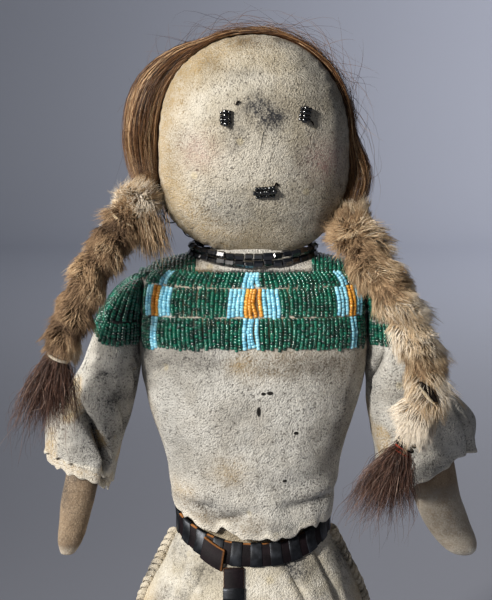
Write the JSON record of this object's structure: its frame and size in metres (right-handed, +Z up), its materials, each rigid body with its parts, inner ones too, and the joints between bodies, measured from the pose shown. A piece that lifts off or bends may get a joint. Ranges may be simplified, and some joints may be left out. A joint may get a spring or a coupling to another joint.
{
  "type": "hide doll",
  "caption": "Standing stuffed hide doll of a woman in a dress with a lane-stitched bead yoke, a studded belt, fur-wrapped braids and moccasins; head, arms, braids, belt strap and legs move.",
  "frame": {"origin": "on the floor under the middle of the doll's outline, at the soles of the moccasins", "axes": "+Z up the figure, +X to the doll's own left, +Y behind the doll; the doll faces -Y"},
  "size_m": [0.231, 0.108, 0.4637],
  "materials": {
    "pale_hide": "matt",
    "tan_hide": "smooth",
    "face_hide": "matt",
    "stuffing": "matt",
    "green_beads": "gloss",
    "black_beads": "gloss",
    "slate_beads": "gloss",
    "hair": "satin",
    "fur": "matt",
    "belt_leather": "satin",
    "lace_hide": "matt",
    "shoe_hide": "matt"
  },
  "bodies": {
    "trunk": {"body_torso": "stuffing", "dress_front": "pale_hide", "dress_back": "pale_hide", "yoke_front_upper": "green_beads", "yoke_front_middle": "green_beads", "yoke_front_lower": "green_beads", "yoke_back_upper": "green_beads", "yoke_back_middle": "green_beads", "yoke_back_lower": "green_beads", "neck": "pale_hide", "choker_upper": "slate_beads", "choker_lower": "slate_beads", "belt": "belt_leather", "belt_tongue": "belt_leather", "skirt_front": "pale_hide", "skirt_back": "pale_hide", "skirt_lacing_right": "lace_hide", "skirt_lacing_left": "lace_hide"},
    "head": {"head_face": "face_hide", "head_back": "face_hide", "head_stuffing": "stuffing", "eye_right": "black_beads", "eye_left": "black_beads", "mouth": "black_beads", "hair_scalp": "hair", "hair_lock_right": "hair", "hair_lock_left": "hair"},
    "braid_right": {"braid_hair_right": "hair", "fur_wrap_right": "fur", "wrap_tie_right": "pale_hide", "braid_tassel_right": "hair"},
    "braid_left": {"braid_hair_left": "hair", "fur_wrap_left": "fur", "wrap_tie_left": "pale_hide", "braid_tassel_left": "hair"},
    "arm_right": {"arm_right": "tan_hide", "sleeve_right": "pale_hide", "sleeve_beads_right": "green_beads"},
    "arm_left": {"arm_left": "tan_hide", "sleeve_left": "pale_hide", "sleeve_beads_left": "green_beads"},
    "leg_right": {"leg_right": "pale_hide", "moccasin_upper_right": "shoe_hide", "moccasin_sole_right": "shoe_hide"},
    "leg_left": {"leg_left": "pale_hide", "moccasin_upper_left": "shoe_hide", "moccasin_sole_left": "shoe_hide"},
    "belt_drop": {"belt_drop": "belt_leather"}
  },
  "joints": [
    {"name": "head_turn", "type": "hinge", "parent": "trunk", "child": "head", "pos_m": [-0.00015, 0.00209, 0.356], "axis": [0, 0, 1], "range_deg": [-5, 5], "stiffness_Nm_per_rad": 0.2},
    {"name": "braid_right_swing", "type": "hinge", "parent": "head", "child": "braid_right", "pos_m": [-0.05315, -0.00191, 0.38403], "axis": [0, 1, 0], "range_deg": [0, 30]},
    {"name": "braid_left_swing", "type": "hinge", "parent": "head", "child": "braid_left", "pos_m": [0.04685, -0.00591, 0.37172], "axis": [0, -1, 0], "range_deg": [0, 30]},
    {"name": "arm_right_raise", "type": "hinge", "parent": "trunk", "child": "arm_right", "pos_m": [-0.05675, 0.00209, 0.3391], "axis": [0, 1, 0], "range_deg": [0, 40]},
    {"name": "arm_left_raise", "type": "hinge", "parent": "trunk", "child": "arm_left", "pos_m": [0.05645, 0.00209, 0.3391], "axis": [0, -1, 0], "range_deg": [0, 40]},
    {"name": "hip_right", "type": "hinge", "parent": "trunk", "child": "leg_right", "pos_m": [-0.02115, 0.00209, 0.1577], "axis": [1, 0, 0], "range_deg": [-15, 15]},
    {"name": "hip_left", "type": "hinge", "parent": "trunk", "child": "leg_left", "pos_m": [0.02085, 0.00209, 0.1577], "axis": [1, 0, 0], "range_deg": [-15, 15]},
    {"name": "belt_drop_swing", "type": "hinge", "parent": "trunk", "child": "belt_drop", "pos_m": [-0.01007, -0.02914, 0.19628], "axis": [-1, 0, 0], "range_deg": [0, 45]}
  ]
}
